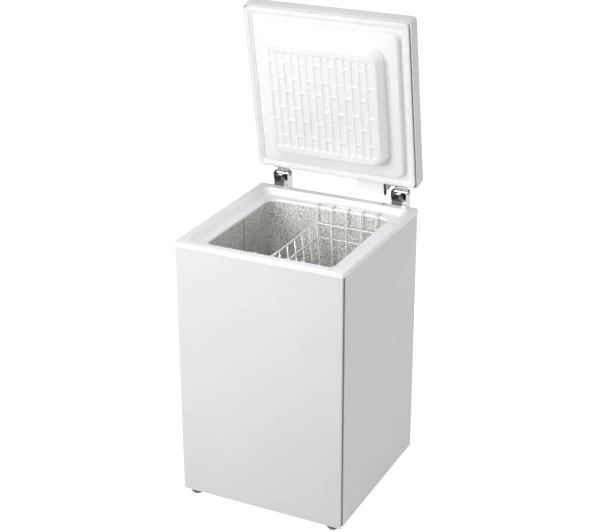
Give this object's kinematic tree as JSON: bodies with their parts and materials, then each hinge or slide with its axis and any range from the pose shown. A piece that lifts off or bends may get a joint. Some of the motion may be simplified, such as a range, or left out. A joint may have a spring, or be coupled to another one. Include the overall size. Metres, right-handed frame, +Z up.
{
  "type": "chest freezer",
  "caption": "Small upright-bodied chest freezer with a hinged foam-filled lid, a stepped collar, an embossed metal liner and a sliding wire basket.",
  "frame": {"origin": "on the floor, in the middle of the overall width and depth with the lid open", "axes": "+Z up, the front panel faces -Y, +X to the right as seen from the front"},
  "size_m": [0.527, 0.574, 1.4169],
  "materials": {
    "white_paint": "satin",
    "grey_steel": "satin",
    "galvanised_steel": "dull",
    "white_plastic": "satin",
    "stucco_aluminium": "embossed",
    "foam": "matte",
    "copper": "dull",
    "black_paint": "gloss",
    "black_plastic": "matte",
    "dark_grey_plastic": "matte",
    "rubber": "matte",
    "hinge_chrome": "polished",
    "spring_steel": "oiled",
    "gasket": "matte",
    "coated_wire": "gloss"
  },
  "bodies": {
    "cabinet": {"front_panel": "white_paint", "left_panel": "white_paint", "right_panel": "white_paint", "rear_panel": "galvanised_steel", "base_plate": "galvanised_steel", "chamber_plate": "galvanised_steel", "collar": "white_plastic", "liner": "stucco_aluminium", "foam": "foam", "evaporator_tube": "copper", "condenser_tube": "copper", "compressor": "black_paint", "compressor_mounts": "rubber", "relay_cover": "black_plastic", "filter_drier": "copper", "refrigerant_pipes": "copper", "compressor_grille": "dark_grey_plastic", "grille_screws": "galvanised_steel", "thermostat": "grey_steel", "cable_gland": "black_plastic", "drain_tube": "white_plastic", "foot_front_left": "dark_grey_plastic", "foot_front_right": "dark_grey_plastic", "foot_rear_left": "dark_grey_plastic", "foot_rear_right": "dark_grey_plastic", "hinge_housing_left": "hinge_chrome", "hinge_housing_right": "hinge_chrome", "hinge_pin_left": "spring_steel", "hinge_pin_right": "spring_steel", "hinge_spring_left": "spring_steel", "hinge_spring_right": "spring_steel", "housing_screws": "galvanised_steel"},
    "lid": {"lid_skin": "white_paint", "lid_foam": "foam", "lid_liner": "white_plastic", "lid_gasket": "gasket", "rear_tab": "white_plastic", "rear_tab_buffer": "rubber", "rear_tab_gusset": "galvanised_steel", "lid_bracket_left": "hinge_chrome", "lid_bracket_right": "hinge_chrome", "bracket_screws": "galvanised_steel"},
    "plunger_left": {"hinge_plunger_left": "dark_grey_plastic"},
    "plunger_right": {"hinge_plunger_right": "dark_grey_plastic"},
    "basket": {"basket": "coated_wire"},
    "knob": {"thermostat_knob": "white_plastic"},
    "drain_plug": {"drain_plug": "white_plastic"}
  },
  "joints": [
    {"name": "lid_hinge", "type": "hinge", "parent": "cabinet", "child": "lid", "pos_m": [0, 0.2735, 0.86], "axis": [1, 0, 0], "range_deg": [0, 80]},
    {"name": "plunger_left_slide", "type": "slide", "parent": "cabinet", "child": "plunger_left", "axis": [0, 0, 1], "range_m": [-0.01397, 0], "deforming": ["hinge_spring_left"]},
    {"name": "plunger_right_slide", "type": "slide", "parent": "cabinet", "child": "plunger_right", "axis": [0, 0, 1], "range_m": [-0.01397, 0], "deforming": ["hinge_spring_right"]},
    {"name": "basket_slide", "type": "slide", "parent": "cabinet", "child": "basket", "axis": [1, 0, 0], "range_m": [-0.14, 0.022]},
    {"name": "thermostat_knob_turn", "type": "hinge", "parent": "cabinet", "child": "knob", "pos_m": [-0.19, 0.26, 0.19], "axis": [0, 1, 0], "range_deg": [-135, 135]},
    {"name": "drain_plug_pull", "type": "slide", "parent": "cabinet", "child": "drain_plug", "axis": [0, 0, 1], "range_m": [0, 0.02]}
  ],
  "couplings": [
    {"joint": "plunger_left_slide", "follows": "lid_hinge", "m_per_rad": -0.01},
    {"joint": "plunger_right_slide", "follows": "lid_hinge", "m_per_rad": -0.01}
  ]
}
